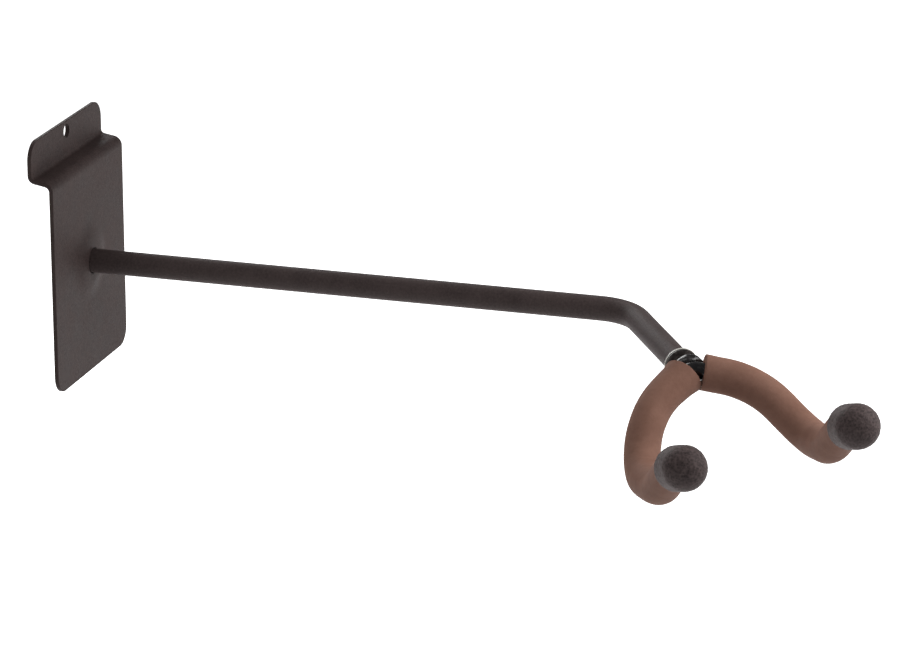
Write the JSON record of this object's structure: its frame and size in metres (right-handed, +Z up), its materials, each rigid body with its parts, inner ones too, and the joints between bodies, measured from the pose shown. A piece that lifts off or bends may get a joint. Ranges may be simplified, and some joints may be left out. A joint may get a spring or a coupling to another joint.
{
  "type": "slatwall guitar hanger",
  "caption": "Sheet-steel slatwall plate with a long tubular arm, bent level to one side, and a padded yoke that swivels on its end.",
  "frame": {"origin": "where the arm's axis crosses the plane of the plate's back face, which rests on the slatwall", "axes": "+X right when facing the wall, +Y into the wall, square to the plate's back face, +Z up"},
  "size_m": [0.2398, 0.41, 0.1174],
  "materials": {
    "textured_paint": "fine-textured matte powder coat",
    "gloss_paint": "gloss black paint",
    "zinc": "bright zinc plate",
    "nylon": "natural nylon",
    "foam": "soft closed-cell foam, satin skin",
    "cap_rubber": "matte moulded rubber"
  },
  "bodies": {
    "bracket": {"back_plate": "textured_paint", "root_weld": "textured_paint", "arm_tube": "textured_paint", "front_bush": "nylon", "rear_bush": "nylon", "thrust_washer": "nylon"},
    "yoke": {"yoke_stem": "gloss_paint", "tail_washer": "zinc", "retaining_ring": "zinc", "yoke_rod": "gloss_paint", "yoke_weld": "gloss_paint", "sleeve_left": "foam", "sleeve_right": "foam", "end_cap_left": "cap_rubber", "end_cap_right": "cap_rubber"}
  },
  "joints": [
    {"name": "yoke_swivel", "type": "hinge", "parent": "bracket", "child": "yoke", "pos_m": [-0.07759, -0.30455, 0], "axis": [-0.8526, -0.5225, 0], "continuous": true}
  ]
}
